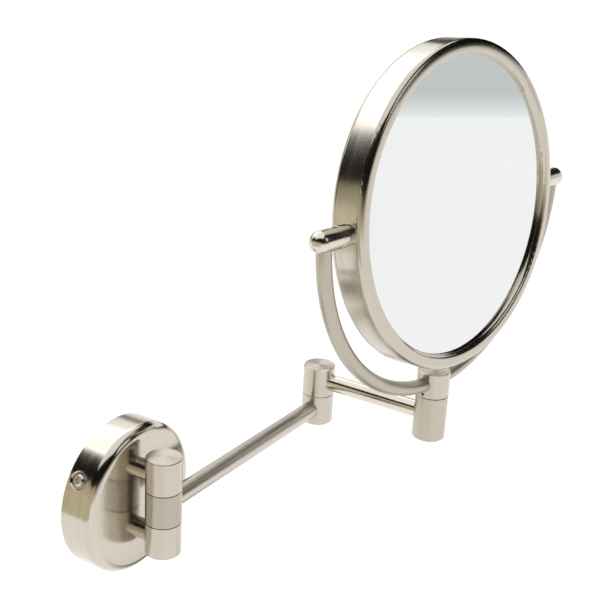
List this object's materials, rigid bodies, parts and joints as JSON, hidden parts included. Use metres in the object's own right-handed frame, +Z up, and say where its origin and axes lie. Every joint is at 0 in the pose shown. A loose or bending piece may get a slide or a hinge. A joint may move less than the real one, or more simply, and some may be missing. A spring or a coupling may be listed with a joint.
{
  "type": "extendable shaving mirror",
  "caption": "Wall-mounted swing-arm shaving mirror: a round cover and hinge barrels carry two rods and a half-ring yoke, in which a two-sided round mirror tilts.",
  "frame": {"origin": "centre of the wall face, at the back of the round wall bracket", "axes": "+Z up; +Y into the wall, so the mirror reaches out towards -Y; +X along the wall, to the right for a person facing it"},
  "size_m": [0.3447, 0.1541, 0.3107],
  "materials": {
    "satin_nickel": "satin brushed nickel plate on steel and brass",
    "bright_nickel": "polished nickel plate",
    "zinc_steel": "zinc-plated steel, hidden inside",
    "nylon": "natural nylon",
    "mirror_glass": "silvered glass",
    "black_plastic": "moulded black plastic, hidden inside",
    "black_steel": "black oxide"
  },
  "bodies": {
    "wall_mount": {"wall_bracket": "zinc_steel", "wall_cover": "satin_nickel", "cover_screw": "bright_nickel", "upper_post": "satin_nickel", "lower_post": "satin_nickel", "post_screws": "zinc_steel", "post_washers": "zinc_steel", "upper_base_knuckle": "satin_nickel", "lower_base_knuckle": "satin_nickel", "base_pivot_screw": "zinc_steel", "base_spring_washer": "zinc_steel"},
    "inner_arm": {"arm_base_knuckle": "satin_nickel", "base_friction_washers": "nylon", "inner_arm_rod": "satin_nickel", "elbow_lower_knuckle": "satin_nickel"},
    "outer_arm": {"elbow_upper_knuckle": "satin_nickel", "elbow_pivot_screw": "zinc_steel", "elbow_spring_washer": "zinc_steel", "elbow_friction_washer": "nylon", "outer_arm_rod": "bright_nickel", "end_knuckle": "satin_nickel"},
    "yoke": {"yoke_hub": "satin_nickel", "end_pivot_screw": "zinc_steel", "end_spring_washer": "zinc_steel", "end_friction_washer": "nylon", "hub_grub_screw": "black_steel", "left_yoke_arm": "satin_nickel", "right_yoke_arm": "satin_nickel", "left_pivot_knob": "bright_nickel", "right_pivot_knob": "bright_nickel", "left_pivot_collar": "bright_nickel", "right_pivot_collar": "bright_nickel", "pivot_screws": "zinc_steel", "pivot_spring_washers": "zinc_steel"},
    "mirror_head": {"head_band": "satin_nickel", "front_bezel": "satin_nickel", "rear_bezel": "satin_nickel", "plain_glass": "mirror_glass", "magnifying_glass": "mirror_glass", "glass_carrier": "black_plastic", "left_pivot_bush": "bright_nickel", "right_pivot_bush": "bright_nickel"}
  },
  "joints": [
    {"name": "wall_swivel", "type": "hinge", "parent": "wall_mount", "child": "inner_arm", "pos_m": [0, -0.0375, 0.0015], "axis": [0, 0, 1], "range_deg": [-185, 5]},
    {"name": "elbow_swivel", "type": "hinge", "parent": "inner_arm", "child": "outer_arm", "pos_m": [0.172, -0.0375, 0.0119], "axis": [0, 0, 1], "range_deg": [-75, 255]},
    {"name": "yoke_swivel", "type": "hinge", "parent": "outer_arm", "child": "yoke", "pos_m": [0.172, -0.1235, 0.0355], "axis": [0, 0, 1], "continuous": true},
    {"name": "mirror_tilt", "type": "hinge", "parent": "yoke", "child": "mirror_head", "pos_m": [0.172, -0.1235, 0.1629], "axis": [0.9848, -0.1736, 0], "continuous": true}
  ]
}
